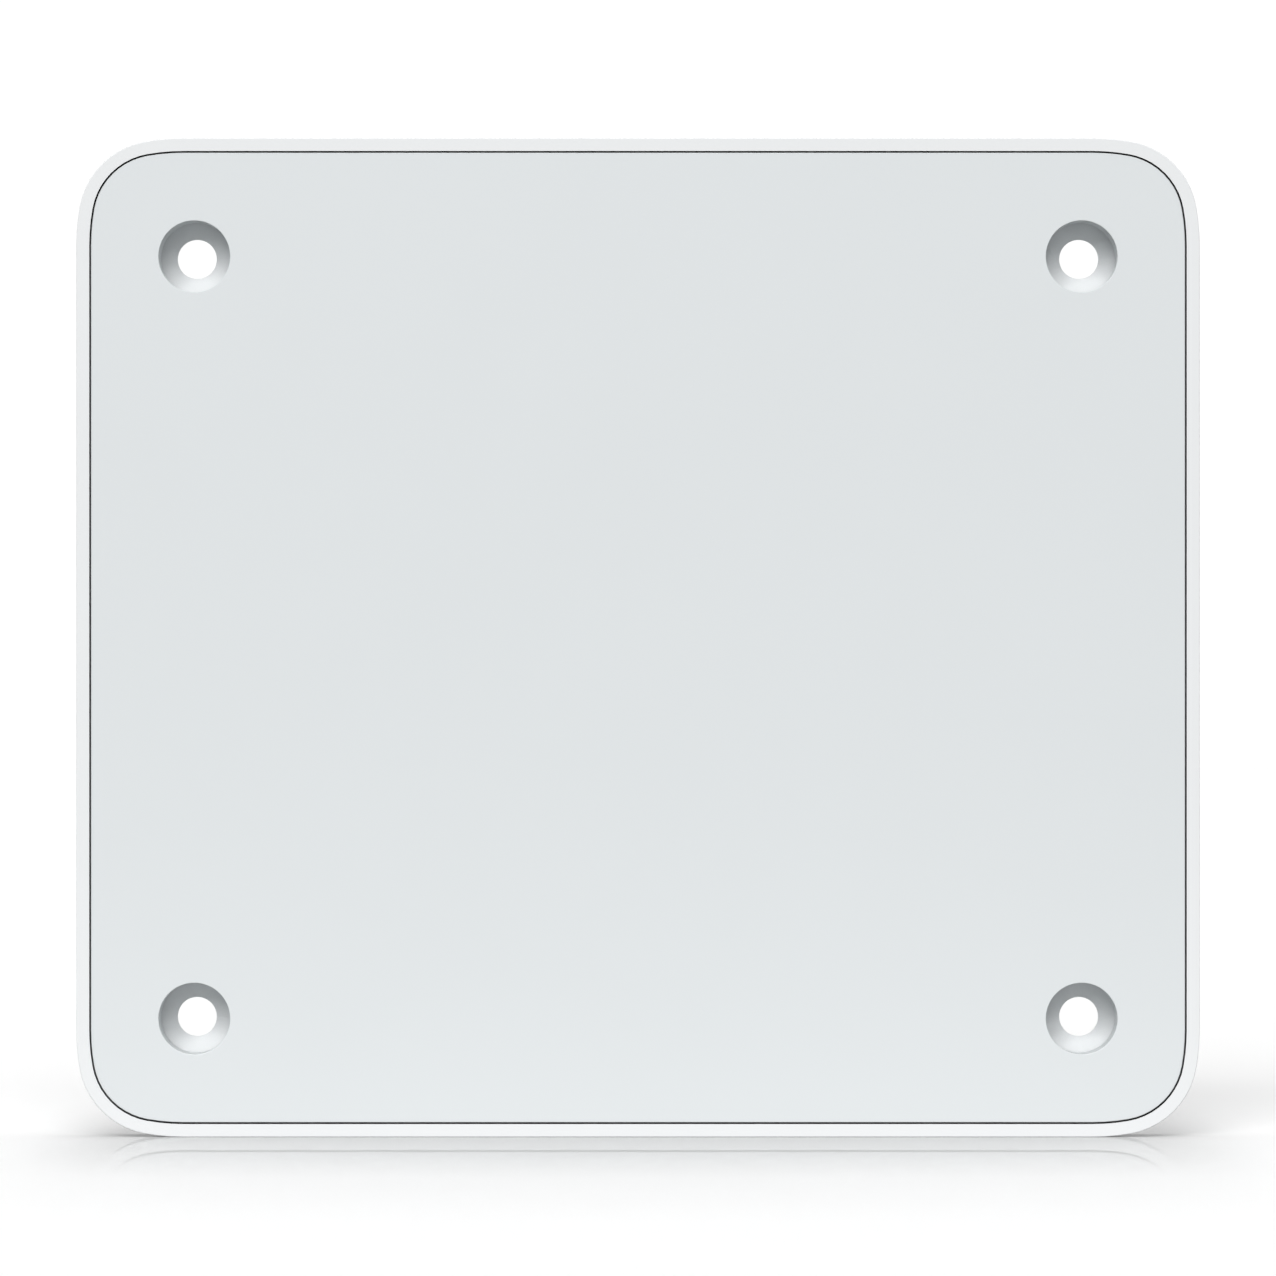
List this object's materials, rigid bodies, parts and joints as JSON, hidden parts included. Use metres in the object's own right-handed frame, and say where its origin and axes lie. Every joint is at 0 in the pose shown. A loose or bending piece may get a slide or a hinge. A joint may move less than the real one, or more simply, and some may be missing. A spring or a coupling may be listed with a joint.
{
  "type": "ceiling access point",
  "caption": "Flat rounded wireless access point: white rim, light grey inset face, countersunk corner screw holes, finned recessed metal box behind.",
  "frame": {"origin": "centre of the four ceiling screw holes, in the plane of the housing that lies on the ceiling", "axes": "+X along the long side to the right seen from the room, +Y into the ceiling away from the visible face, +Z along the short side, up as pictured"},
  "size_m": [0.14, 0.037, 0.1244],
  "materials": {
    "white_shell": "satin fine moulded texture, white",
    "grey_plate": "satin, light bluish grey",
    "adhesive": "thin double-sided tape",
    "cast_box": "die-cast, fine blasted grain",
    "steel_screws": "zinc plated",
    "brass_inserts": "turned",
    "circuit_board": "green solder mask",
    "sheet_metal": "rolled sheet",
    "antenna_metal": "tinned sheet",
    "tinned_cans": "tinned sheet",
    "thermal_pad": "soft gap filler",
    "black_plastic": "moulded black",
    "gold_contacts": "gold plated",
    "light_pipe": "translucent",
    "label": "blank film label",
    "chip_black": "moulded epoxy",
    "ferrite": "sintered ferrite",
    "winding": "taped winding",
    "capacitor_metal": "drawn can with plastic base"
  },
  "bodies": {
    "root_assembly": {"housing": "white_shell", "front_plate": "grey_plate", "plate_adhesive": "adhesive", "back_box": "cast_box", "box_screws": "steel_screws", "threaded_inserts": "brass_inserts", "main_board": "circuit_board", "board_standoffs": "brass_inserts", "reflector_plate": "sheet_metal", "reflector_screws": "steel_screws", "antenna_upper": "antenna_metal", "antenna_lower": "antenna_metal", "antenna_left": "antenna_metal", "antenna_right": "antenna_metal", "processor_shield": "tinned_cans", "radio_shield_upper": "tinned_cans", "radio_shield_lower": "tinned_cans", "thermal_pads": "thermal_pad", "jack_shell": "tinned_cans", "jack_insert": "black_plastic", "jack_contacts": "gold_contacts", "jack_light_pipes": "light_pipe", "reset_switch": "black_plastic", "rating_label": "label", "processor": "chip_black", "memory_chip": "chip_black", "flash_chip": "chip_black", "radio_chips": "chip_black", "ethernet_magnetics": "chip_black", "power_inductor": "ferrite", "transformer_core": "ferrite", "transformer_winding": "winding", "power_capacitors": "capacitor_metal"},
    "reset_button": {"reset_button": "black_plastic"},
    "reset_switch_stem": {"reset_switch_stem": "black_plastic"}
  },
  "joints": [
    {"name": "reset_press", "type": "slide", "parent": "root_assembly", "child": "reset_button", "axis": [0, 0, -1], "range_m": [0, 0.0005], "stiffness_N_per_m": 500},
    {"name": "reset_stem_press", "type": "slide", "parent": "root_assembly", "child": "reset_switch_stem", "axis": [0, 0, -1], "range_m": [0, 0.0005]}
  ],
  "couplings": [
    {"joint": "reset_stem_press", "follows": "reset_press", "ratio": 1}
  ]
}
